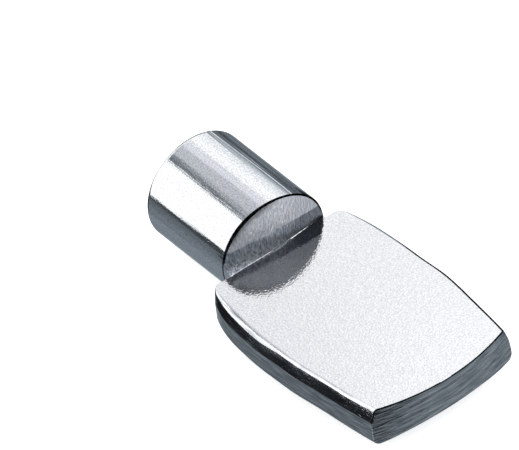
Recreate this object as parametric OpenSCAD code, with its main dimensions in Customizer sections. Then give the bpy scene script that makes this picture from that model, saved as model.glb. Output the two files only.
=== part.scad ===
// Spoon shelf support pin: a round shank that pushes into a bored hole, coined at its front
// into a flat paddle that carries the shelf. It is one piece of steel.
// X runs along the shank towards the paddle, Y runs across the paddle and Z is up.
// The origin is on the shank's axis, in the plane that seats against the cabinet side.

/* [Shank] */
// Diameter of the round shank
shank_d = 6.35; // [5:0.05:7]
// Length of the shank, from its back end to the seat plane
shank_len = 7.1; // [5:0.1:14]
// Radius that rounds the shank's back end
back_round = 0.3; // [0.1:0.05:0.8]
// Angle by which the half-round step face leans back
step_lean = 3; // [0:0.5:8]
// Width of the edge break round the step face
step_break = 0.15; // [0.1:0.05:0.4]

/* [Paddle] */
// Length of the paddle, from the seat plane to the middle of its tip
paddle_len = 14.2; // [10:0.1:20]
// Width of the paddle's flat top at its widest
paddle_w = 9.6; // [9:0.1:13]
// Thickness of the paddle
paddle_t = 2.25; // [1.6:0.05:2.8]
// Height of the flat top above the shank's axis
top_rise = 0.1; // [0:0.05:0.5]
// Distance from the seat plane to the widest place
widest_at = 6.6; // [5:0.1:8]
// Radius of each bowed side, seen from above
side_bow_r = 42; // [30:1:80]
// How far each side swells out past the flat top
side_swell = 0.5; // [0.4:0.05:0.75]
// Radius of the upper edge of each side
top_round = 0.3; // [0.1:0.05:0.4]
// Angle by which each side leans out under its upper edge
side_draft = 18; // [10:1:25]
// Depth of the parting line under the flat top, where the two dies met
parting_depth = 0.75; // [0.5:0.05:1]
// Radius that rolls each side into the underside
bottom_round = 0.45; // [0.2:0.05:0.6]
// Radius of the tip, seen from above
tip_r = 12; // [9:0.5:20]
// Angle by which the tip face leans in towards its lower edge
tip_draft = 3; // [0:0.5:6]
// Depth of the shallow trough along the middle of the underside
trough_depth = 0.35; // [0.2:0.05:0.5]
// Width left flat between the trough and the edge of the flat top above it
trough_rim = 0.6; // [0.4:0.05:1]

/* [Shoulders] */
// How far each shoulder stands out past the shank in the seat plane
seat_ledge = 0.9; // [0.6:0.05:1.1]
// Radius of each shoulder, seen from above
shoulder_r = 2; // [1.5:0.1:3]
// Angle at which a shoulder leaves the seat plane, from the X direction
shoulder_start = 60; // [45:1:75]
// Angle at which a shoulder meets the bowed side, from the X direction
shoulder_end = 15; // [12:1:25]

/* [Neck] */
// Distance from the seat plane to where the neck has run out under the paddle
neck_len = 3; // [2:0.1:6]

/* [Hidden] */
$fn = 128;

// Spare length by which a cutting or limiting shape passes the body that it trims
spare = 1;
// Number of steps in each arc of the side's section
edge_steps = 4;
// Depth by which the neck passes into the paddle, so that the two surfaces cross cleanly
sweep_lap = 0.03;
// Ledge by which the neck starts inside the shank's wall
neck_ledge = 0.05;

shank_r = shank_d / 2;
seat_half_w = shank_r + seat_ledge;
underside_z = top_rise - paddle_t;

// The trough is an arc across the underside, from one rim to the other
trough_half_w = paddle_w / 2 - trough_rim;
trough_r = (pow(trough_half_w, 2) + pow(trough_depth, 2)) / (2 * trough_depth);

// The neck narrows on a hollow arc, from just inside the shank to the level of the trough
neck_r = -underside_z - trough_depth - sweep_lap;
neck_fall = shank_r - neck_ledge - neck_r;
sweep_r = (neck_len * neck_len + neck_fall * neck_fall) / (2 * neck_fall);

// Turns an outline about the X axis: its x is taken as the radius and its y as X
module turned_about_x() {
    rotate([0, 90, 0])
        rotate_extrude()
            children();
}

// Half outline of the shank, its rounded back end and the hollow neck that runs on in front
module bar_outline() {
    round_x = shank_r - back_round;
    translate([0, back_round - shank_len])
        square([shank_r, shank_len - back_round]);
    translate([0, -shank_len])
        square([round_x, back_round]);
    intersection() {
        translate([round_x, back_round - shank_len])
            circle(back_round);
        translate([round_x, -shank_len])
            square([back_round, back_round]);
    }
    difference() {
        square([shank_r, neck_len]);
        translate([neck_r + sweep_r, neck_len])
            circle(sweep_r);
    }
}

// Removes the upper half of the bar in front of the leaning step face
module step_cut() {
    cut_top = shank_r + spare;
    lean_back = (cut_top - top_rise) * tan(step_lean);
    rotate([90, 0, 0])
        linear_extrude(height = 2 * cut_top, center = true)
            polygon([
                [0, top_rise],
                [neck_len + spare, top_rise],
                [neck_len + spare, cut_top],
                [-lean_back, cut_top],
            ]);
}

// Ring with a 45 degree inner cone, which breaks the rim of the step face
module step_break_cut() {
    reach = step_break + spare;
    intersection() {
        translate([0, 0, top_rise])
            rotate([0, -step_lean, 0])
                translate([0, 0, -top_rise])
                    turned_about_x()
                        polygon([
                            [shank_r - step_break, 0],
                            [shank_r + spare, -reach],
                            [shank_r + spare, 0],
                        ]);
        translate([-2 * reach, -shank_d, top_rise])
            cube([3 * reach, 2 * shank_d, shank_d]);
    }
}

module shank() {
    difference() {
        turned_about_x()
            bar_outline();
        step_cut();
        step_break_cut();
    }
}

// Points of an arc, taken in short steps
function arc_points(centre, radius, from, to) = [
    for (step = [0 : edge_steps])
        let (angle = from + (to - from) * step / edge_steps)
            centre + radius * [cos(angle), sin(angle)]
];

// Section of the paddle from its bow centre outwards, with the flat top at zero. The side
// leans out to the parting line, stands nearly upright below it and rolls into the underside.
module flank_profile() {
    top_arc = arc_points([side_bow_r, -top_round], top_round, 90, side_draft);
    arc_end = top_arc[edge_steps];
    lean_out = (parting_depth + arc_end.y) * tan(side_draft);
    roll_centre = [side_bow_r + side_swell - bottom_round, bottom_round - paddle_t];
    polygon([
        [0, 0],
        each top_arc,
        [arc_end.x + lean_out, -parting_depth],
        each arc_points(roll_centre, bottom_round, 0, -90),
        [0, -paddle_t],
    ]);
}

// Large disc whose profiled rim is one bowed side of the paddle
module side_disc(side) {
    translate([widest_at, side * (paddle_w / 2 - side_bow_r), top_rise])
        rotate_extrude()
            flank_profile();
}

// Cone frustum whose wall is the curved tip face
module tip_limit() {
    slope = tan(tip_draft);
    translate([paddle_len - tip_r, 0, underside_z - spare])
        cylinder(
            h = paddle_t + 2 * spare,
            r1 = tip_r - (paddle_t + spare) * slope,
            r2 = tip_r + spare * slope
        );
}

// Plan of the two shoulders: each rises from the seat plane on an arc, then flares straight
module shoulder_plan() {
    centre = [
        shoulder_r * sin(shoulder_start),
        seat_half_w - shoulder_r * cos(shoulder_start),
    ];
    arc_end = centre + shoulder_r * [-sin(shoulder_end), cos(shoulder_end)];
    far_end = arc_end + 2 * paddle_len * [cos(shoulder_end), sin(shoulder_end)];
    intersection() {
        translate([0, -far_end.y])
            square([2 * paddle_len, 2 * far_end.y]);
        union() {
            polygon([
                [0, seat_half_w],
                arc_end,
                far_end,
                [far_end.x, -far_end.y],
                [arc_end.x, -arc_end.y],
                [0, -seat_half_w],
            ]);
            for (side = [1, -1])
                translate([centre.x, side * centre.y])
                    circle(shoulder_r);
        }
    }
}

// Long cylinder that hollows the underside
module trough_cut() {
    translate([-spare, 0, underside_z + trough_depth - trough_r])
        rotate([0, 90, 0])
            cylinder(h = paddle_len + 2 * spare, r = trough_r);
}

module paddle() {
    difference() {
        intersection() {
            side_disc(1);
            side_disc(-1);
            tip_limit();
            translate([0, 0, underside_z - spare])
                linear_extrude(height = paddle_t + 2 * spare)
                    shoulder_plan();
        }
        trough_cut();
    }
}

module shelf_pin() {
    color([0.80, 0.81, 0.83]) {
        shank();
        paddle();
    }
}

shelf_pin();
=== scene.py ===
from math import asin, atan2, cos, exp, hypot, pi, radians, sin, sqrt, tan

import bpy
from mathutils import Matrix, Vector


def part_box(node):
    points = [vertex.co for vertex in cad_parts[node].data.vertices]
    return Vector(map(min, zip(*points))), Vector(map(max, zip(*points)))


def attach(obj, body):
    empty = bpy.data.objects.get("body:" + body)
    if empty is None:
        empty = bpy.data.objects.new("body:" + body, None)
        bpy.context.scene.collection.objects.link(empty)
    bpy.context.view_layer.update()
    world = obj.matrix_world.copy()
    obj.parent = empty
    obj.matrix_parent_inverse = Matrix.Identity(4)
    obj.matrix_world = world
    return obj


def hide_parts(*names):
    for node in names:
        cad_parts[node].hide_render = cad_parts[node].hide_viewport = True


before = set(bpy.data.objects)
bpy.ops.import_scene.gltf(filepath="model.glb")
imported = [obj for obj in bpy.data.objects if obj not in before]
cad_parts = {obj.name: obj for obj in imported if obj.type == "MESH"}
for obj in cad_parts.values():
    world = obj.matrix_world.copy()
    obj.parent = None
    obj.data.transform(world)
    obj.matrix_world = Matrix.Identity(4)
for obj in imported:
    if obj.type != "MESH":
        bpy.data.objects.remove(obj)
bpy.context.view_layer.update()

pinLow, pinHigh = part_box("shelf_pin")
mm = 0.001               # the pin is modelled in millimetres and scaled to metres at the end
backEnd, tipEnd = pinLow.x / mm, pinHigh.x / mm
shankRadius = pinHigh.z / mm
print("frame loaded, the pin is %.1f mm long" % (tipEnd - backEnd))


def hexColor(text):
    parts = [int(text[i:i + 2], 16) / 255 for i in (1, 3, 5)]
    linear = [c / 12.92 if c <= 0.04045 else ((c + 0.055) / 1.055) ** 2.4 for c in parts]
    return (*linear, 1)


def addNode(tree, kind, inputs=None, **settings):
    # an input is a value, a socket to link, or a node whose first output is linked
    node = tree.nodes.new(kind)
    for name, value in settings.items():
        setattr(node, name, value)
    for name, value in (inputs or {}).items():
        if isinstance(value, bpy.types.Node):
            value = value.outputs[0]
        if isinstance(value, bpy.types.NodeSocket):
            tree.links.new(value, node.inputs[name])
        else:
            node.inputs[name].default_value = value
    return node


def pick(piece):
    bpy.ops.object.select_all(action="DESELECT")
    piece.select_set(True)
    bpy.context.view_layer.objects.active = piece


def editMode(piece):
    pick(piece)
    bpy.ops.object.mode_set(mode="EDIT")


def objectMode():
    bpy.ops.object.mode_set(mode="OBJECT")


def editSelected(piece, kind, test):
    # goes to edit mode with only those edges or faces selected that pass the test
    editMode(piece)
    bpy.ops.mesh.select_mode(type=kind)
    bpy.ops.mesh.select_all(action="DESELECT")
    objectMode()
    items = piece.data.polygons if kind == "FACE" else piece.data.edges
    for item in items:
        item.select = test(item)
    editMode(piece)


def edgeEnds(piece, edge):
    return [piece.data.vertices[index].co for index in edge.vertices]


def applyPlace(piece):
    pick(piece)
    bpy.ops.object.transform_apply(location=True, rotation=True, scale=True)


meshLimits = {
    "merge": 0.0006,        # points this close together are one, in millimetres
    "collapse": 0.0004,     # and shorter edges than this go
    "touch": 0.01,          # what lies this close to an end belongs to it
    "facing": 0.99,         # least part of its normal that a face turns the way it looks
    "smoothAngle": radians(24),
    "normalWeight": 50,
}


def cleanMesh(piece):
    editMode(piece)
    bpy.ops.mesh.select_all(action="SELECT")
    bpy.ops.mesh.remove_doubles(threshold=meshLimits["merge"])
    bpy.ops.mesh.dissolve_degenerate(threshold=meshLimits["collapse"])
    bpy.ops.mesh.select_all(action="SELECT")
    bpy.ops.mesh.normals_make_consistent(inside=False)
    objectMode()


def applyModifier(piece, kind, **settings):
    pick(piece)
    modifier = piece.modifiers.new(kind.title(), kind)
    for name, value in settings.items():
        setattr(modifier, name, value)
    bpy.ops.object.modifier_apply(modifier=modifier.name)


def combine(piece, other, operation):
    applyModifier(piece, "BOOLEAN", object=other, operation=operation, solver="EXACT")
    bpy.data.objects.remove(other)


def smoothStep(low, high, value):
    t = min(1, max(0, (value - low) / (high - low)))
    return t * t * (3 - 2 * t)


def along(stops, x):
    # a size that changes smoothly along the pin, from its places and values
    size = stops[0][1]
    for (start, before), (end, after) in zip(stops, stops[1:]):
        size += (after - before) * smoothStep(start, end, x)
    return size


# the shank is round bar: its back end is rounded, and half of it is sheared away in front
shankSizes = {
    "sides": 192,
    "backRound": 0.3,
    "backSteps": 8,
    "top": 0.1,             # the step goes down to the paddle's flat top
    "stepBack": -0.18,      # how far the sheared step face stands behind the seat plane
    "stepSkew": 0.08,       # it is sheared a little askew, further back on the near side
    "stepBow": -0.012,      # and bows back a trace towards both ends
    "stepLean": 0.02,       # and leans a little forward
    "footHeight": 0.55,     # height over which its foot runs out to the root
    "footRows": 12,
    "faceRows": [1.5, 2.2, 3],
    "stepColumns": 32,
    "stepReach": 1.5,       # half width of the cut, in radii of the bar
    "lipWidth": 0.035,      # the lip along the root
    "lipHeight": 0.02,
    "rootAhead": 0.12,      # the root lies this far in front of the seat plane
    "rootTurn": -0.085,     # and turns back on the far half
    "rootSink": 0.004,      # the cut stops this little below the flat top
    "rimMost": 0.14,        # broken edge round the step face, at its widest
    "rimLeast": 0.085,
    "rimSwells": [(radians(124), radians(30)), (radians(15), radians(24))],
    "rimRunOn": 0.2,        # on the near side it runs on a little below the flat
    "rimSteps": 96,
    "rimPast": 0.2,         # how far its cutter passes it on either side, in shares of its width
    "rimDepth": 3,          # and how far the cutter reaches out of the bar
    "neckLength": 3.0,      # how far the neck runs out under the paddle
    "neckRadius": 1.75,     # radius of the neck where it has run out
    "neckSteps": 16,
    "overlap": 0.06,        # how far the shank reaches into the paddle
    "spare": 1,             # how far the step cutter passes the bar
}


def rootPlace(y):
    # the root line across the flat top, bent in the middle
    return shankSizes["rootAhead"] + shankSizes["rootTurn"] * max(0, y)


def facePlace(y, z):
    # the sheared face above it, askew
    s = shankSizes
    return s["stepBack"] + s["stepSkew"] * y + s["stepBow"] * y ** 2 + s["stepLean"] * z


def stepPlace(y, z):
    # the face with its foot, which runs out to the root in a thin bright lip
    s = shankSizes
    rise = max(0, z - s["top"])
    share = max(0, 1 - rise / s["footHeight"]) ** 2
    lip = s["lipWidth"] * max(0, 1 - rise / s["lipHeight"])
    return facePlace(y, z) * (1 - share) + (rootPlace(y) - s["lipWidth"]) * share + lip


def stepCutter():
    # everything above the paddle and in front of the step face
    s = shankSizes
    top = s["top"]
    heights = [top - s["rootSink"], top, top + s["lipHeight"]]
    heights += [top + s["footHeight"] * i / s["footRows"] for i in range(1, s["footRows"] + 1)]
    heights += s["faceRows"] + [shankRadius + s["spare"]]
    rows = len(heights) - 1
    bpy.ops.object.select_all(action="DESELECT")
    bpy.ops.mesh.primitive_grid_add(x_subdivisions=s["stepColumns"], y_subdivisions=rows, size=2)
    cutter = bpy.context.object
    for vertex in cutter.data.vertices:
        y = vertex.co.x * s["stepReach"] * shankRadius
        z = heights[round((vertex.co.y + 1) / 2 * rows)]
        vertex.co = (stepPlace(y, z), y, z)
    editMode(cutter)
    bpy.ops.mesh.select_all(action="SELECT")
    reach = s["neckLength"] + 2 * s["spare"]
    bpy.ops.mesh.extrude_region_move(TRANSFORM_OT_translate={"value": (reach, 0, 0)})
    objectMode()
    cleanMesh(cutter)
    return cutter


def rimWidth(angle):
    # the broken edge is widest high on the near side and low on the far side
    s = shankSizes
    share = sum(exp(-((angle - middle) / spread) ** 2) for middle, spread in s["rimSwells"])
    return s["rimLeast"] + (s["rimMost"] - s["rimLeast"]) * share


def rimCutter():
    # half ring that breaks the rim of the step face; its outline is in shares of the break's width
    s = shankSizes
    past, deep = s["rimPast"], s["rimDepth"]
    outline = [(-1 - past, past), (-1, 0), (0, -1), (past, -1 - past), (deep, -1 - past), (deep, past)]
    bpy.ops.object.select_all(action="DESELECT")
    bpy.ops.mesh.primitive_circle_add(vertices=len(outline), fill_type="NGON")
    cutter = bpy.context.object
    for vertex, (reach, forward) in zip(cutter.data.vertices, outline):
        vertex.co = (forward * s["rimMost"], shankRadius + reach * s["rimMost"], 0)
    editMode(cutter)
    bpy.ops.mesh.select_all(action="SELECT")
    bpy.ops.mesh.spin(steps=s["rimSteps"], angle=pi, center=(0, 0, 0), axis=(1, 0, 0))
    objectMode()
    first = asin(s["top"] / shankRadius)
    for vertex in cutter.data.vertices:
        angle = first + atan2(abs(vertex.co.z), vertex.co.y) * (1 + (s["rimRunOn"] - first) / pi)
        share = rimWidth(angle) / s["rimMost"]
        reach = shankRadius + (hypot(vertex.co.y, vertex.co.z) - shankRadius) * share
        y, z = reach * cos(angle), reach * sin(angle)
        vertex.co = (vertex.co.x * share + facePlace(y, z), y, z)
    cleanMesh(cutter)
    return cutter


def makeShank():
    s = shankSizes
    radius = shankRadius
    bpy.ops.object.select_all(action="DESELECT")
    bpy.ops.mesh.primitive_cylinder_add(
        vertices=s["sides"], radius=radius, depth=-backEnd + s["overlap"],
        location=((backEnd + s["overlap"]) / 2, 0, 0), rotation=(0, pi / 2, 0))
    shank = bpy.context.object
    shank.name = "shank"
    applyPlace(shank)

    # the back rim is rounded
    back = backEnd + meshLimits["touch"]
    editSelected(shank, "EDGE", lambda edge: all(end.x < back for end in edgeEnds(shank, edge)))
    bpy.ops.mesh.bevel(offset=s["backRound"], segments=s["backSteps"], profile=0.5, clamp_overlap=False)
    objectMode()

    # hollow neck: the front end is drawn forward ring by ring on an arc
    reach = s["neckLength"]
    fall = radius - s["neckRadius"]
    sweep = (reach ** 2 + fall ** 2) / (2 * fall)
    places = [reach * (1 - cos(pi / 2 * i / s["neckSteps"])) for i in range(s["neckSteps"] + 1)]
    radii = [s["neckRadius"] + sweep - sqrt(sweep ** 2 - (reach - x) ** 2) for x in places]
    editSelected(shank, "FACE", lambda face: face.normal.x > meshLimits["facing"])
    for i in range(1, len(places)):
        step = (places[i] - places[i - 1], 0, 0)
        bpy.ops.mesh.extrude_region_move(TRANSFORM_OT_translate={"value": step})
        ratio = radii[i] / radii[i - 1]
        middle = (places[i] + s["overlap"], 0, 0)
        bpy.ops.transform.resize(value=(1, ratio, ratio), center_override=middle)
    objectMode()

    combine(shank, stepCutter(), "DIFFERENCE")
    combine(shank, rimCutter(), "DIFFERENCE")
    cleanMesh(shank)
    print("shank made, %d faces" % len(shank.data.polygons))
    return shank


# the paddle is pressed flat between two dies; sizes in lists are (place along the pin, size)
paddleSizes = {
    "top": shankSizes["top"],    # flat top above the shank's axis
    "thickness": 2.25,
    "flatHalf": 4.8,             # half width of the flat top at its widest
    "widestAt": 6.6,
    "bowRadius": 42,
    "bowSteps": 110,
    "shoulderRadius": 0.8,
    "shoulderStart": radians(60),
    "shoulderSteps": 20,
    "seatEdge": 0.06,            # small round on the upper edge of the seat face
    "seatShares": [0, 0.35, 0.7, 0.9],
    "tipRadius": 12.3,
    "tipRadiusBelow": 17,        # its lower edge is flatter
    "tipTurn": [(12, 0), (13.6, -0.02)],         # and a little askew
    "tipDraft": radians(3),
    "tipEdge": 0.07,             # small round along the tip's upper and lower edges
    "tipCorner": 0.1,            # upright corners of the tip
    "tipSection": 13.3,          # place whose section the tip face has
    "tipSteps": 48,
    "cornerSteps": 6,
    "topRound": [(4.3, 0.35), (7.2, 0.2)],       # rolled upper edge
    "draft": radians(18),        # upper flank leans out at this angle down to the parting line
    "draftShares": [0.5, 0.96, 1.0],
    "parting": 0.8,              # depth of the parting line
    "swell": [(4.5, 0.515), (8, 0.46), (11, 0.46), (13.6, 0.52)],    # flank past the flat top
    "swellLeast": 0.003,         # and past the parting line, at least
    "swellAtSeat": 0.16,         # share of the swell left at the seat
    "swellFull": 2.9,            # the swell is whole from here on
    "swellEase": 2.2,
    "flankShares": [0.03, 0.2, 0.4, 0.6, 0.8, 1.0],
    "bottomRound": [(9, 0.45), (12.5, 0.4)],     # roll into the underside
    "edgeSteps": 9,
    "trough": 0.2,               # shallow hollow along the underside
    "troughRim": 0.6,
    "troughSides": 1024,
    "troughLength": 40,
    "aside": [(4, -0.1), (9.5, 0.08), (11, 0.08), (13.6, 0.12)],     # the die was a little off
    "waistBack": [(5.5, -0.07), (8, 0)],         # leaner than the plain bow near the shoulders
    "waistFront": [(7, 0), (10.5, -0.1)],        # and towards the tip
}


def flankProfile(x):
    # section of the paddle's side at x: (out past the flat top, down), from the top to the underside
    p = paddleSizes
    points = []
    roundness = along(p["topRound"], x)
    for i in range(p["edgeSteps"] + 1):
        angle = pi / 2 + (p["draft"] - pi / 2) * i / p["edgeSteps"]
        points.append((roundness * cos(angle), roundness * (1 - sin(angle))))
    startOut, startDown = points[-1]
    lean = p["parting"] - startDown
    partingOut = startOut + lean * tan(p["draft"])
    for share in p["draftShares"]:
        points.append((startOut + (partingOut - startOut) * share, startDown + lean * share))
    bottomRound = along(p["bottomRound"], x)
    bottomStart = p["thickness"] - bottomRound
    drop = bottomStart - p["parting"]
    swell = max(along(p["swell"], x), partingOut + p["swellLeast"])
    out = swell - partingOut
    curve = (out ** 2 + drop ** 2) / (2 * out)
    for share in p["flankShares"]:
        left = drop * (1 - share)
        points.append((swell - (curve - sqrt(curve ** 2 - left ** 2)), p["parting"] + drop * share))
    for i in range(1, p["edgeSteps"] + 1):
        angle = pi / 2 * i / p["edgeSteps"]
        points.append((swell - bottomRound * (1 - cos(angle)), bottomStart + bottomRound * sin(angle)))
    return points


def edgeInset(depth, roundness):
    # how far a small round along the upper and the lower edge draws a face in at this depth
    near = min(depth, paddleSizes["thickness"] - depth)
    if near >= roundness:
        return 0
    return roundness - sqrt(max(0, roundness ** 2 - (roundness - near) ** 2))


def swellShare(x):
    # the flank's swell grows from the seat on
    p = paddleSizes
    t = min(1, max(0, x / p["swellFull"]))
    return p["swellAtSeat"] + (1 - p["swellAtSeat"]) * (1 - (1 - t) ** p["swellEase"])


def halfOutline(level):
    # far half of the ring at one level of the flank's profile, from the seat round to the tip
    p = paddleSizes
    top, bow, shoulder, corner = p["top"], p["bowRadius"], p["shoulderRadius"], p["tipCorner"]
    bowMiddle = Vector((p["widestAt"], p["flatHalf"] - bow))
    cornerX = shoulder * sin(p["shoulderStart"])
    cornerY = bowMiddle.y + sqrt((bow - shoulder) ** 2 - (bowMiddle.x - cornerX) ** 2)
    shoulderMiddle = Vector((cornerX, cornerY))
    shoulderEnd = atan2(bowMiddle.x - cornerX, cornerY - bowMiddle.y)
    points = []

    # seat edge, from the middle outwards
    seatOut, seatDown = flankProfile(0)[level]
    seatX = edgeInset(seatDown, p["seatEdge"])
    reach = shoulder + seatOut * p["swellAtSeat"]
    startAngle = asin(min(1, (shoulderMiddle.x - seatX) / reach))
    seatY = shoulderMiddle.y + reach * cos(startAngle)
    for share in p["seatShares"]:
        points.append((seatX, seatY * share, top - seatDown))

    # shoulder arc
    for i in range(p["shoulderSteps"] + 1):
        angle = startAngle + (shoulderEnd - startAngle) * i / p["shoulderSteps"]
        x = shoulderMiddle.x - shoulder * sin(angle)
        out, down = flankProfile(x)[level]
        reach = shoulder + out * swellShare(x)
        x = max(seatX, shoulderMiddle.x - reach * sin(angle))
        points.append((x, shoulderMiddle.y + reach * cos(angle), top - down))

    # place of the corner where the flank meets the tip
    tipOut, tipDown = flankProfile(p["tipSection"])[level]
    tipRadius = p["tipRadius"] + (p["tipRadiusBelow"] - p["tipRadius"]) * tipDown / p["thickness"]
    tipMiddle = Vector((tipEnd - tipRadius, 0))
    tipReach = tipRadius - tipDown * tan(p["tipDraft"]) - edgeInset(tipDown, p["tipEdge"])
    a = bow + tipOut - corner
    b = tipReach - corner
    apart = (tipMiddle - bowMiddle).length
    ahead = (a ** 2 - b ** 2 + apart ** 2) / (2 * apart)
    aside = sqrt(a ** 2 - ahead ** 2)
    forward = (tipMiddle - bowMiddle) / apart
    cornerMiddle = bowMiddle + forward * ahead + Vector((forward.y, -forward.x)) * aside
    fromBow = cornerMiddle - bowMiddle
    bowEnd = atan2(-fromBow.x, fromBow.y)
    fromTip = cornerMiddle - tipMiddle
    tipStart = atan2(fromTip.y, fromTip.x)

    # bowed side
    for i in range(1, p["bowSteps"] + 1):
        angle = shoulderEnd + (bowEnd - shoulderEnd) * i / p["bowSteps"]
        x = bowMiddle.x - bow * sin(angle)
        out, down = flankProfile(x)[level]
        reach = bow + out * swellShare(x)
        points.append((bowMiddle.x - reach * sin(angle), bowMiddle.y + reach * cos(angle), top - down))

    # upright corner of the tip
    cornerStart = pi / 2 + bowEnd
    for i in range(1, p["cornerSteps"]):
        angle = cornerStart + (tipStart - cornerStart) * i / p["cornerSteps"]
        x, y = cornerMiddle.x + corner * cos(angle), cornerMiddle.y + corner * sin(angle)
        points.append((x, y, top - tipDown))

    # tip face
    for i in range(p["tipSteps"] + 1):
        angle = tipStart * (1 - i / p["tipSteps"])
        points.append((tipMiddle.x + tipReach * cos(angle), tipReach * sin(angle), top - tipDown))
    return points


def uneven(x, y, z):
    # the sides of a pressed paddle are never quite alike
    p = paddleSizes
    waist = along(p["waistBack"], x) + along(p["waistFront"], x)
    turn = along(p["tipTurn"], x) * (p["top"] - z) / p["thickness"]
    return Vector((x + turn * y, y * (1 + waist / p["flatHalf"]) + along(p["aside"], x), z))


def wholeOutline(level):
    half = halfOutline(level)
    other = [(x, -y, z) for x, y, z in reversed(half[1:-1])]
    return [uneven(*point) for point in half + other]


def makePaddle():
    # a disc that is drawn down ring by ring, each ring on the next level of the flank's profile
    p = paddleSizes
    levels = len(flankProfile(0))
    first = wholeOutline(0)
    bpy.ops.object.select_all(action="DESELECT")
    bpy.ops.mesh.primitive_circle_add(vertices=len(first), radius=1, fill_type="NGON")
    paddle = bpy.context.object
    paddle.name = "paddle"
    mesh = paddle.data
    place = mesh.attributes.new("place", "INT", "POINT")
    for vertex in mesh.vertices:
        place.data[vertex.index].value = vertex.index
        vertex.co = first[vertex.index]
    editMode(paddle)
    bpy.ops.mesh.select_all(action="SELECT")
    for level in range(1, levels):
        ring = wholeOutline(level)
        bpy.ops.mesh.extrude_region_move()
        objectMode()
        mesh = paddle.data
        place = mesh.attributes["place"].data
        for vertex in mesh.vertices:
            if vertex.select:
                vertex.co = ring[place[vertex.index].value]
        editMode(paddle)
    objectMode()

    # the first ring was left open by the extrusion: close it with the flat top
    editMode(paddle)
    bpy.ops.mesh.select_all(action="DESELECT")
    bpy.ops.mesh.select_mode(type="EDGE")
    bpy.ops.mesh.select_non_manifold(
        extend=False, use_wire=False, use_multi_face=False, use_non_contiguous=False, use_verts=False)
    bpy.ops.mesh.edge_face_add()
    bpy.ops.mesh.select_all(action="SELECT")
    bpy.ops.mesh.normals_make_consistent(inside=False)
    objectMode()
    mesh.attributes.remove(mesh.attributes["place"])

    # shallow trough along the underside
    half = p["flatHalf"] - p["troughRim"]
    troughRadius = (half ** 2 + p["trough"] ** 2) / (2 * p["trough"])
    troughMiddle = p["top"] - p["thickness"] + p["trough"] - troughRadius
    bpy.ops.object.select_all(action="DESELECT")
    bpy.ops.mesh.primitive_cylinder_add(
        vertices=p["troughSides"], radius=troughRadius, depth=p["troughLength"],
        location=(p["widestAt"], 0, troughMiddle), rotation=(0, pi / 2, 0))
    cutter = bpy.context.object
    applyPlace(cutter)
    combine(paddle, cutter, "DIFFERENCE")
    cleanMesh(paddle)
    print("paddle made, %d faces" % len(paddle.data.polygons))
    return paddle


def makePin():
    pin = makeShank()
    combine(pin, makePaddle(), "UNION")
    pin.name = "nickel_pin"
    pin.data.name = "nickel_pin"
    cleanMesh(pin)
    bpy.ops.object.shade_smooth_by_angle(angle=meshLimits["smoothAngle"])
    pin.scale = (mm, mm, mm)
    applyPlace(pin)
    applyModifier(
        pin, "WEIGHTED_NORMAL", keep_sharp=True, weight=meshLimits["normalWeight"], mode="FACE_AREA")
    print("pin joined, %d faces" % len(pin.data.polygons))
    return pin


pin = makePin()


def newMaterial(name):
    material = bpy.data.materials.new(name)
    material.use_nodes = True
    material.node_tree.nodes.clear()
    return material, material.node_tree


def newFinish(name, patterns):
    # material whose noise patterns lie on the piece itself, their scales in bumps per millimetre
    material, tree = newMaterial(name)
    place = addNode(tree, "ShaderNodeTexCoord").outputs["Object"]
    noises = {}
    for pattern, (scale, detail, roughness) in patterns.items():
        spread = [part / mm for part in scale]
        sized = addNode(tree, "ShaderNodeMapping", {"Vector": place, "Scale": spread})
        values = {"Vector": sized, "Scale": 1, "Detail": detail, "Roughness": roughness}
        noises[pattern] = addNode(tree, "ShaderNodeTexNoise", values)
    return material, tree, place, noises


# the finishes: one nickel plate, which shows how each face under it was made.
# A pattern is (scale along X, Y and Z in bumps per millimetre), detail and roughness.
# Noise keeps near its middle, so each use opens this span of it out to the whole range.
# The colours that a Mix node blends are its inputs 6 and 7, and its output 2.
noiseSpan = {"From Min": 0.32, "From Max": 0.68}

drawnWire = {
    "bright": "#e8e9eb",
    "dull": "#c3c6c9",           # the same nickel in its fine pits
    "roughness": (0.05, 0.11),
    "pitDepth": 0.002,           # depths in millimetres
    "lineDepth": 0.009,
    "scoreDepth": 0.016,
    "scoreSpan": (0.55, 0.62),   # only the highest noise makes a score
    "scoreSide": (0.9, 1.3),     # they lie on the far side of the wire, from here on
    "patterns": {
        # lines of the drawing die are 0.02 mm apart, too fine to show: drawn 0.2 mm apart
        "lines": ((0.25, 5, 5), 3, 0.5),
        # pits in the plate are 0.01 mm wide, too fine to show: drawn 0.08 mm wide
        "pits": ((13, 13, 13), 1, 0.5),
        # a few deeper scores along it, 0.4 mm apart
        "scores": ((0.08, 2.4, 2.4), 1, 0.5),
    },
}


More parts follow.
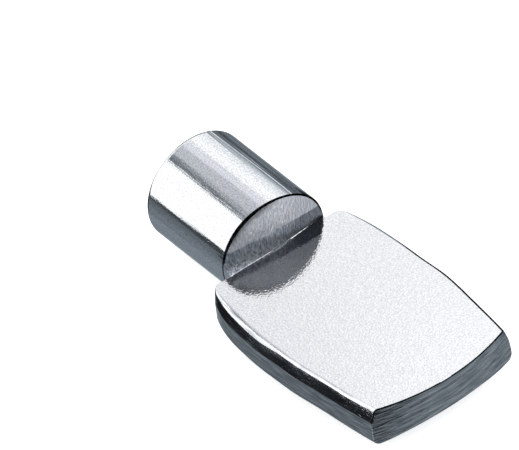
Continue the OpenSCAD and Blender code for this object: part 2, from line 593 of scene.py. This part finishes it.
def drawnShank():
    # bright nickel on drawn wire: a mirror with faint lines along it, so reflections fray lengthwise
    f = drawnWire
    material, tree, place, noises = newFinish("brightNickelOnDrawnWire", f["patterns"])
    lines, pits = noises["lines"], noises["pits"]
    wear = addNode(tree, "ShaderNodeMapRange", {"Value": pits, **noiseSpan})
    colors = {0: wear, 6: hexColor(f["dull"]), 7: hexColor(f["bright"])}
    color = addNode(tree, "ShaderNodeMix", colors, data_type="RGBA")
    low, high = f["roughness"]
    sheen = addNode(tree, "ShaderNodeMapRange", {"Value": lines, **noiseSpan, "To Min": low, "To Max": high})
    low, high = f["scoreSpan"]
    scores = addNode(
        tree, "ShaderNodeMapRange", {"Value": noises["scores"], "From Min": low, "From Max": high})
    axes = addNode(tree, "ShaderNodeSeparateXYZ", {"Vector": place})
    near, far = f["scoreSide"]
    side = addNode(
        tree, "ShaderNodeMapRange", {"Value": axes.outputs["Y"], "From Min": near * mm, "From Max": far * mm})
    scores = addNode(tree, "ShaderNodeMath", {0: scores, 1: side}, operation="MULTIPLY")
    drawn = addNode(tree, "ShaderNodeBump", {"Height": lines, "Strength": 1, "Distance": f["lineDepth"] * mm})
    pitted = addNode(tree, "ShaderNodeBump", {
        "Height": pits, "Strength": 1, "Distance": f["pitDepth"] * mm, "Normal": drawn})
    relief = addNode(tree, "ShaderNodeBump", {
        "Height": scores, "Strength": 1, "Distance": f["scoreDepth"] * mm, "Normal": pitted})
    shader = addNode(tree, "ShaderNodeBsdfPrincipled", {
        "Base Color": color.outputs[2], "Metallic": 1, "Roughness": sheen, "Normal": relief})
    addNode(tree, "ShaderNodeOutputMaterial", {"Surface": shader})
    return material


coinedTop = {
    "bright": "#dcdddf",         # coined faces are a shade duller
    "dull": "#c3c5c8",
    "roughness": (0.1, 0.04),
    "dentDepth": 0.0055,
    "patterns": {
        "pits": ((13, 13, 13), 1, 0.5),
        # dents left by the die's grain are 0.03 mm wide, too fine to show: drawn 0.12 mm wide
        "dents": ((8, 8, 8), 1, 0.5),
    },
}


def coinedFlat():
    # bright nickel on a face pressed by a die: flat, with fine pits that make reflections grainy
    f = coinedTop
    material, tree, place, noises = newFinish("brightNickelOnCoinedFlat", f["patterns"])
    wear = addNode(tree, "ShaderNodeMapRange", {"Value": noises["pits"], **noiseSpan})
    colors = {0: wear, 6: hexColor(f["dull"]), 7: hexColor(f["bright"])}
    color = addNode(tree, "ShaderNodeMix", colors, data_type="RGBA")
    low, high = f["roughness"]
    sheen = addNode(
        tree, "ShaderNodeMapRange", {"Value": noises["pits"], **noiseSpan, "To Min": low, "To Max": high})
    relief = addNode(
        tree, "ShaderNodeBump", {"Height": noises["dents"], "Strength": 1, "Distance": f["dentDepth"] * mm})
    shader = addNode(tree, "ShaderNodeBsdfPrincipled", {
        "Base Color": color.outputs[2], "Metallic": 1, "Roughness": sheen, "Normal": relief})
    addNode(tree, "ShaderNodeOutputMaterial", {"Surface": shader})
    return material


rolledEdge = {
    "bright": "#f6f7f8",
    "dull": "#a9acb1",           # dull streaks where the metal flowed
    "roughness": (0.05, 0.12),
    "waveDepth": 0.009,
    "pitDepth": 0.004,
    "patterns": {
        # slow waves where the metal rolled over the die's edge, 0.3 mm apart and 1 mm long
        "waves": ((1.0, 3, 3), 3, 0.5),
        "pits": ((13, 13, 13), 1, 0.5),
        # flow lines of cold-pressed steel, 0.12 to 0.2 mm apart
        "flow": ((0.6, 5, 8), 2, 0.5),
    },
}


def rolledSide():
    # bright nickel on metal that rolled over the die's edge: a mirror with slow waves, so bands waver
    f = rolledEdge
    material, tree, place, noises = newFinish("brightNickelOnRolledSide", f["patterns"])
    wear = addNode(tree, "ShaderNodeMapRange", {"Value": noises["flow"], **noiseSpan})
    colors = {0: wear, 6: hexColor(f["dull"]), 7: hexColor(f["bright"])}
    color = addNode(tree, "ShaderNodeMix", colors, data_type="RGBA")
    low, high = f["roughness"]
    sheen = addNode(
        tree, "ShaderNodeMapRange", {"Value": noises["waves"], **noiseSpan, "To Min": low, "To Max": high})
    waves = addNode(
        tree, "ShaderNodeBump", {"Height": noises["waves"], "Strength": 1, "Distance": f["waveDepth"] * mm})
    relief = addNode(tree, "ShaderNodeBump", {
        "Height": noises["pits"], "Strength": 1, "Distance": f["pitDepth"] * mm, "Normal": waves})
    shader = addNode(tree, "ShaderNodeBsdfPrincipled", {
        "Base Color": color.outputs[2], "Metallic": 1, "Roughness": sheen, "Normal": relief})
    addNode(tree, "ShaderNodeOutputMaterial", {"Surface": shader})
    return material


# the tip, the rim and the underside differ only in their values: one noise rules each of them
plainFinishes = {
    "tip": {
        # nickel on a sheared end: streaks along the cut, 0.2 mm apart and 2 mm long, smear reflections
        "name": "nickelOnShearedTip",
        "pattern": ((2, 0.5, 5), 4, 0.6),
        "dull": "#7d8186",
        "bright": "#ffffff",
        "roughness": (0.12, 0.3),
        "depth": 0.03,
    },
    "rim": {
        # painted shade: a thin dark line along the edge that the shear broke, near black under any light,
        # nicked every 0.17 mm
        "name": "paintedShadeLineAtRim",
        "pattern": ((6, 6, 6), 2, 0.5),
        "dull": "#1d1f22",
        "bright": "#43474b",
        "roughness": (0.2, 0.4),
        "depth": 0.01,
    },
    "forged": {
        # nickel on faces that no die polished, mottled every 0.3 mm: satin, so they look duller
        "name": "nickelOnForgedUnderside",
        "pattern": ((3, 3, 3), 4, 0.6),
        "dull": "#c3c6c9",
        "bright": "#e8e9eb",
        "roughness": (0.3, 0.18),
        "depth": 0.015,
    },
}


def plainFinish(kind):
    f = plainFinishes[kind]
    material, tree, place, noises = newFinish(f["name"], {"grain": f["pattern"]})
    grain = noises["grain"]
    wear = addNode(tree, "ShaderNodeMapRange", {"Value": grain, **noiseSpan})
    colors = {0: wear, 6: hexColor(f["dull"]), 7: hexColor(f["bright"])}
    color = addNode(tree, "ShaderNodeMix", colors, data_type="RGBA")
    low, high = f["roughness"]
    sheen = addNode(tree, "ShaderNodeMapRange", {"Value": grain, **noiseSpan, "To Min": low, "To Max": high})
    relief = addNode(tree, "ShaderNodeBump", {"Height": grain, "Strength": 1, "Distance": f["depth"] * mm})
    shader = addNode(tree, "ShaderNodeBsdfPrincipled", {
        "Base Color": color.outputs[2], "Metallic": 1, "Roughness": sheen, "Normal": relief})
    addNode(tree, "ShaderNodeOutputMaterial", {"Surface": shader})
    return material


shearedStep = {
    "pale": ("#cdd6e6", "#ffffff"),      # torn zone
    "palePaintedFarShade": "#ccd1d9",
    "dark": ("#8a93a1", "#dde4ee"),      # burnished zone
    "darkPaintedFarShade": "#6a717c",
    "paintedFarShadeSpan": (0.2, 1.6),       # painted shade: towards the far side both zones are drawn darker, over this span
    "paintedFarShadeShare": 0.9,
    "tornFrom": 1.1,             # height of the line between the two zones
    "tornSoft": 0.04,
    "ragged": 0.15,
    "metallic": (0.78, 0.65),    # the torn zone is so rough that part of its light is scattered
    "roughness": 0.3,
    "tearDepth": 0.05,
    "overhang": 0.25,            # slope of the fine scales, which all overhang a little
    "tornOverhang": 1.5,         # and that much more in the torn zone
    "paintedRimShade": "#3c4148",        # painted shade high on the near side, under the rim: a soft shade inside it, by distance from the axis,
    "paintedRimShadeOut": (2.5, 3.05),   # a soft shade inside it, by distance from the axis,
    "paintedRimShadeAcross": (0.9, -0.6),    # across
    "paintedRimShadeUp": (1.2, 2.0),     # and upwards
    "paintedRimShadeShare": 0.75,
    "patterns": {
        # upright tears 0.1 mm apart and 0.3 mm high, about as wide as a shear leaves them
        "tears": ((8, 11, 3.2), 2, 0.5),
    },
}


def cutStep():
    # nickel on a sheared face: burnished and dark below, torn and paler above, with upright tears
    f = shearedStep
    material, tree, place, noises = newFinish("nickelOnShearedStep", f["patterns"])
    tears = noises["tears"]
    axes = addNode(tree, "ShaderNodeSeparateXYZ", {"Vector": place})
    across, height = axes.outputs["Y"], axes.outputs["Z"]

    # ragged line between the two zones
    ragged = addNode(
        tree, "ShaderNodeMath", {0: tears, 1: f["ragged"] * mm, 2: height}, operation="MULTIPLY_ADD")
    edge = f["tornFrom"] + f["ragged"] / 2
    torn = addNode(tree, "ShaderNodeMapRange", {
        "Value": ragged, "From Min": (edge - f["tornSoft"]) * mm, "From Max": (edge + f["tornSoft"]) * mm})

    # painted shade: both zones grow darker towards the far side
    wear = addNode(tree, "ShaderNodeMapRange", {"Value": tears, **noiseSpan})
    near, far = f["paintedFarShadeSpan"]
    paintedFarShade = addNode(tree, "ShaderNodeMapRange", {
        "Value": across, "From Min": near * mm, "From Max": far * mm, "To Max": f["paintedFarShadeShare"]})
    tones = []
    for zone in ("dark", "pale"):
        low, high = f[zone]
        tone = addNode(
            tree, "ShaderNodeMix", {0: wear, 6: hexColor(low), 7: hexColor(high)}, data_type="RGBA")
        colors = {0: paintedFarShade, 6: tone.outputs[2], 7: hexColor(f[zone + "PaintedFarShade"])}
        tones.append(addNode(tree, "ShaderNodeMix", colors, data_type="RGBA").outputs[2])
    tone = addNode(tree, "ShaderNodeMix", {0: torn, 6: tones[0], 7: tones[1]}, data_type="RGBA")

    # painted shade: a soft dark shade inside the rim, high on the near side
    flatWise = addNode(tree, "ShaderNodeVectorMath", {0: place, 1: (0, 1, 1)}, operation="MULTIPLY")
    out = addNode(tree, "ShaderNodeVectorMath", {0: flatWise}, operation="LENGTH")
    paintedRimShade = f["paintedRimShadeShare"]
    spans = [(out.outputs["Value"], "paintedRimShadeOut"), (across, "paintedRimShadeAcross"), (height, "paintedRimShadeUp")]
    for value, span in spans:
        start, end = f[span]
        share = addNode(
            tree, "ShaderNodeMapRange", {"Value": value, "From Min": start * mm, "From Max": end * mm},
            interpolation_type="SMOOTHSTEP")
        paintedRimShade = addNode(tree, "ShaderNodeMath", {0: paintedRimShade, 1: share}, operation="MULTIPLY")
    colors = {0: paintedRimShade, 6: tone.outputs[2], 7: hexColor(f["paintedRimShade"])}
    color = addNode(tree, "ShaderNodeMix", colors, data_type="RGBA")

    # fine scales that overhang, the more so in the torn zone: a height that only grows upwards
    above = addNode(tree, "ShaderNodeMath", {0: height, 1: f["tornFrom"] * mm}, operation="SUBTRACT")
    above = addNode(tree, "ShaderNodeMath", {0: above, 1: 0}, operation="MAXIMUM")
    slope = addNode(
        tree, "ShaderNodeMath", {0: above, 1: f["tornOverhang"] - 1, 2: height}, operation="MULTIPLY_ADD")
    slope = addNode(tree, "ShaderNodeMath", {0: slope, 1: 1 / mm}, operation="MULTIPLY")
    scales = addNode(tree, "ShaderNodeBump", {"Height": slope, "Strength": 1, "Distance": f["overhang"] * mm})
    relief = addNode(tree, "ShaderNodeBump", {
        "Height": tears, "Strength": 1, "Distance": f["tearDepth"] * mm, "Normal": scales})

    low, high = f["metallic"]
    shine = addNode(tree, "ShaderNodeMapRange", {"Value": torn, "To Min": low, "To Max": high})
    shader = addNode(tree, "ShaderNodeBsdfPrincipled", {
        "Base Color": color.outputs[2], "Metallic": shine, "Roughness": f["roughness"], "Normal": relief})
    addNode(tree, "ShaderNodeOutputMaterial", {"Surface": shader})
    return material


# which finish a face has, by its place in millimetres and the way it looks
faceLimits = {
    "touch": 0.004,          # a face this near to a surface lies on it
    "stepTouch": 0.015,
    "topTouch": 0.01,
    "leaning": 0.2,          # least part of its normal that a face turns some way
    "facing": 0.97,
    "tipFacing": 0.8,
    "underFacing": 0.75,
    "rimReach": 0.25,        # the step's broken rim is this near to the step face,
    "rimEnd": radians(206),  # and ends at this angle round the shank
    "flatFrom": -0.3,
    "tipEdge": 1.2,          # the tip's upper edge is this near to the end of the pin, and gets the painted shade line of the rim but for this stretch of it
    "tipEdgeGap": (-0.4, 0.3),   # and is bare steel but for this stretch of it
    "tipReach": 2.5,
    "seat": 0.02,            # behind here, and this far inside its wall, the shank is drawn wire
    "shankWall": 0.35,
    "neckWall": 0.02,        # the neck is this far inside the shank's wall,
    "neckDrop": 0.3,         # and this far under the flat top
}


def faceFinish(face):
    f = faceLimits
    x, y, z = face.center / mm
    forward, upward = face.normal.x, face.normal.z
    top = shankSizes["top"]
    reach = hypot(y, z)
    angle = atan2(z, y) % (2 * pi)
    leaning = forward > f["leaning"]
    if z > top + f["touch"] and abs(x - stepPlace(y, z)) < f["stepTouch"] and leaning:
        return "step" if z > top + shankSizes["lipHeight"] else "shank"
    # the step's broken rim gets the painted shade line
    onRim = abs(x - facePlace(y, z)) < f["rimReach"] and reach < shankRadius - f["touch"]
    if onRim and leaning and angle < f["rimEnd"]:
        return "rim"
    if forward < -f["facing"] and x < backEnd + f["topTouch"]:
        return "forged"
    if upward > f["facing"] and abs(z - top) < f["topTouch"] and x > f["flatFrom"]:
        return "flat"
    # the tip's upper edge gets the same painted shade line
    start, end = f["tipEdgeGap"]
    if leaning and upward > f["leaning"] and x > tipEnd - f["tipEdge"] and not start < y < end:
        return "rim"
    if forward > f["tipFacing"] and x > tipEnd - f["tipReach"]:
        return "tip"
    if x < f["seat"] and reach > shankRadius - f["shankWall"]:
        return "shank"
    if upward < -f["underFacing"] or reach < shankRadius - f["neckWall"] and z < top - f["neckDrop"]:
        return "forged"
    return "side"


finishes = {
    "shank": drawnShank(),
    "flat": coinedFlat(),
    "side": rolledSide(),
    "tip": plainFinish("tip"),
    "step": cutStep(),
    "rim": plainFinish("rim"),
    "forged": plainFinish("forged"),
}
pin.data.materials.clear()
for finish in finishes.values():
    pin.data.materials.append(finish)
counts = dict.fromkeys(finishes, 0)
for face in pin.data.polygons:
    kind = faceFinish(face)
    face.material_index = list(finishes).index(kind)
    counts[kind] += 1
print("finishes laid:", counts)

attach(pin, "root")
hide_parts("shelf_pin")

# no perspective, as from a long way off; angles in degrees, lengths in millimetres
cameraSizes = {
    "azimuth": 57.0924,
    "elevation": 42.418,
    "roll": -8.2029,
    "across": 26.914,
    "aimRight": -0.951,
    "aimUp": 1.192,
    "away": 60,
    "clip": (1, 5000),
}


def makeCamera():
    c = cameraSizes
    azimuth, elevation, roll = radians(c["azimuth"]), radians(c["elevation"]), radians(c["roll"])
    back = Vector((sin(azimuth) * cos(elevation), -cos(azimuth) * cos(elevation), sin(elevation)))
    level = Vector((cos(azimuth), sin(azimuth), 0))
    upright = back.cross(level)
    right = level * cos(roll) + upright * sin(roll)
    up = upright * cos(roll) - level * sin(roll)
    data = bpy.data.cameras.new("camera")
    data.type = "ORTHO"
    data.ortho_scale = c["across"] * mm
    data.clip_start, data.clip_end = [end * mm for end in c["clip"]]
    camera = bpy.data.objects.new("camera", data)
    bpy.context.scene.collection.objects.link(camera)
    place = (right * c["aimRight"] + up * c["aimUp"] + back * c["away"]) * mm
    camera.matrix_world = Matrix.Translation(place) @ Matrix((right, up, back)).transposed().to_4x4()
    bpy.context.scene.camera = camera


makeCamera()
print("camera placed")

# a light tent over a light table; lengths in millimetres, angles in degrees
studioSizes = {
    "floorSize": 2000,
    "paperWhite": "#f4f4f4",
    "paperRough": 0.5,
    "paperGlow": 0.55,       # the floor is a lit table, so hardly any shade shows on it
    "roomLight": 1.25,       # even white light on the paper
    "tentRadius": 160,
    "tentGlow": 1.56,
    # lining of the tent from the bottom to the top: elevation and shade
    "lining": [
        (-90, "#6a7278"),
        (-50, "#6c747a"),
        (-42, "#727a81"),
        (-36, "#6e777d"),
        (-30, "#656d73"),
        (-22, "#5a6166"),
        (-15, "#545b60"),
        (-8, "#585f64"),
        (0, "#5c6368"),
        (7, "#6d757c"),
        (15, "#b5bcc1"),
        (22, "#dddfe1"),
        (37, "#f7f7f7"),
        (41.5, "#eeeeee"),
        (43.3, "#ededed"),
        (44.5, "#f3f3f3"),
        (52, "#fcfcfc"),
        (57, "#e6e8ea"),
        (66, "#ffffff"),
        (90, "#ffffff"),
    ],
    # patches on the lining: middle azimuth and elevation, width and height, soft edge, shade
    "patches": [
        {"at": (22, 12.5), "size": (165, 89), "soft": 6, "shade": "#17191b"},
        {"at": (141, -39), "size": (50, 20), "soft": 14, "shade": "#9199a1"},
        {"at": (140, 46.2), "size": (9, 5.4), "soft": 2, "shade": "#ffffff"},
        {"at": (177, 51), "size": (52, 16), "soft": 6, "shade": "#b3b5ba"},
        {"at": (157, 51), "size": (20, 16), "soft": 10, "shade": "#d4d5da"},
        {"at": (-153, 43.5), "size": (30, 11), "soft": 5, "shade": "#5c6368"},
        {"at": (-176, -1), "size": (30, 18), "soft": 3, "shade": "#ffffff"},
        {"at": (-131, 16.7), "size": (72, 52.8), "soft": 1.2, "shade": "#ffffff"},
        {"at": (-130, -13.2), "size": (40, 5), "soft": 3, "shade": "#33373a"},
        {"at": (-171, -28), "size": (58, 18), "soft": 4, "shade": "#17191b"},
        {"at": (128, -5), "size": (30, 3), "soft": 2, "shade": "#2d3134"},
        {"at": (-57, -42), "size": (40, 30), "soft": 8, "shade": "#b5bcc1"},
    ],
    # dark cards beside the paddle, in millimetres: corners and shade
    "cards": [
        {"name": "darkCard", "shade": "#1b1d20",
         "corners": [(-9, -12, -5.5), (14, -12, -5.5), (14, -12, -1.6), (-9, -12, -3.5)]},
        {"name": "slateCard", "shade": "#5a6166",
         "corners": [(-3, -11.9, -4.2), (15, -11.9, -4.2), (15, -4.5, -4.2), (-3, -4.5, -4.2)]},
        {"name": "farCard", "shade": "#1b1d20",
         "corners": [(0.5, 8, -3), (12.5, 8, -3), (12.5, 8, 4.6), (3.2, 8, 4.6)]},
        {"name": "farShoulderCard", "shade": "#1b1d20",
         "corners": [(-5, 7, -2.5), (-1.2, 7, -2.5), (-1.2, 7, 0.5), (-5, 7, 0.5)]},
    ],
}


def paperFloor():
    # matt white film over a lamp: no gloss at all, so that only a trace of contact shade shows
    material, tree = newMaterial("matteLightTable")
    s = studioSizes
    paper = addNode(
        tree, "ShaderNodeBsdfDiffuse", {"Color": hexColor(s["paperWhite"]), "Roughness": s["paperRough"]})
    lamp = addNode(tree, "ShaderNodeEmission", {"Color": (1, 1, 1, 1), "Strength": s["paperGlow"]})
    both = addNode(tree, "ShaderNodeAddShader", {0: paper, 1: lamp})
    addNode(tree, "ShaderNodeOutputMaterial", {"Surface": both})
    return material


def cardShade(name, shade):
    # dull card that keeps one even tone in the metal
    material, tree = newMaterial(name)
    glow = addNode(
        tree, "ShaderNodeEmission", {"Color": hexColor(shade), "Strength": studioSizes["tentGlow"]})
    addNode(tree, "ShaderNodeOutputMaterial", {"Surface": glow})
    return material


def tentLining():
    # glowing cloth of a light tent with paler and darker patches, which the metal mirrors
    s = studioSizes
    material, tree = newMaterial("tentLining")
    place = addNode(tree, "ShaderNodeTexCoord")
    way = addNode(tree, "ShaderNodeVectorMath", {0: place.outputs["Object"]}, operation="NORMALIZE")
    axes = addNode(tree, "ShaderNodeSeparateXYZ", {"Vector": way})
    turn = addNode(tree, "ShaderNodeMath", {0: axes.outputs["Y"], 1: axes.outputs["X"]}, operation="ARCTAN2")
    azimuth = addNode(tree, "ShaderNodeMath", {0: turn}, operation="DEGREES")
    rise = addNode(tree, "ShaderNodeMath", {0: axes.outputs["Z"]}, operation="ARCSINE")
    elevation = addNode(tree, "ShaderNodeMath", {0: rise}, operation="DEGREES")
    height = addNode(tree, "ShaderNodeMapRange", {"Value": elevation, "From Min": -90, "From Max": 90})
    ramp = addNode(tree, "ShaderNodeValToRGB", {"Fac": height})
    stops = ramp.color_ramp.elements
    for i, (angle, shade) in enumerate(s["lining"]):
        stop = stops[0] if i == 0 else stops.new((angle + 90) / 180)
        stop.position = (angle + 90) / 180
        stop.color = hexColor(shade)
    stops.remove(stops[-1])
    shown = ramp.outputs["Color"]
    for patch in s["patches"]:
        shares = []
        for angle, middle, size in zip((azimuth, elevation), patch["at"], patch["size"]):
            offset = addNode(tree, "ShaderNodeMath", {0: angle, 1: middle}, operation="SUBTRACT")
            wrapped = addNode(tree, "ShaderNodeMath", {0: offset, 1: -180, 2: 180}, operation="WRAP")
            away = addNode(tree, "ShaderNodeMath", {0: wrapped}, operation="ABSOLUTE")
            limits = {"From Min": (size - patch["soft"]) / 2, "From Max": (size + patch["soft"]) / 2}
            values = {"Value": away, "To Min": 1, "To Max": 0, **limits}
            shares.append(addNode(tree, "ShaderNodeMapRange", values, interpolation_type="SMOOTHSTEP"))
        cover = addNode(tree, "ShaderNodeMath", {0: shares[0], 1: shares[1]}, operation="MULTIPLY")
        colors = {0: cover, 6: shown, 7: hexColor(patch["shade"])}
        shown = addNode(tree, "ShaderNodeMix", colors, data_type="RGBA").outputs[2]
    glow = addNode(tree, "ShaderNodeEmission", {"Color": shown, "Strength": s["tentGlow"]})
    addNode(tree, "ShaderNodeOutputMaterial", {"Surface": glow})
    return material


def onlyMirrored(thing):
    # seen by nothing but the metal's reflections
    thing.visible_camera = False
    thing.visible_diffuse = False
    thing.visible_shadow = False


def makeStudio():
    s = studioSizes
    bpy.ops.object.select_all(action="DESELECT")
    bpy.ops.mesh.primitive_plane_add(size=s["floorSize"] * mm, location=(0, 0, pinLow.z))
    floor = bpy.context.object
    floor.name = "floor"
    floor.data.materials.append(paperFloor())
    floor.visible_glossy = False

    # the tent is only for the metal to mirror
    bpy.ops.object.select_all(action="DESELECT")
    bpy.ops.mesh.primitive_uv_sphere_add(segments=96, ring_count=48, radius=s["tentRadius"] * mm)
    tent = bpy.context.object
    tent.name = "tent"
    tent.data.materials.append(tentLining())
    onlyMirrored(tent)
    for card in s["cards"]:
        bpy.ops.object.select_all(action="DESELECT")
        bpy.ops.mesh.primitive_plane_add(size=mm)
        panel = bpy.context.object
        panel.name = card["name"]
        for vertex, index in zip(panel.data.vertices, (0, 1, 3, 2)):
            vertex.co = Vector(card["corners"][index]) * mm
        panel.data.materials.append(cardShade(card["name"], card["shade"]))
        onlyMirrored(panel)

    world = bpy.data.worlds.new("room")
    world.use_nodes = True
    tree = world.node_tree
    tree.nodes.clear()
    light = addNode(tree, "ShaderNodeBackground", {"Color": (1, 1, 1, 1), "Strength": s["roomLight"]})
    addNode(tree, "ShaderNodeOutputWorld", {"Surface": light})
    bpy.context.scene.world = world
    bpy.context.scene.view_settings.view_transform = "Standard"


makeStudio()
print("studio lit")
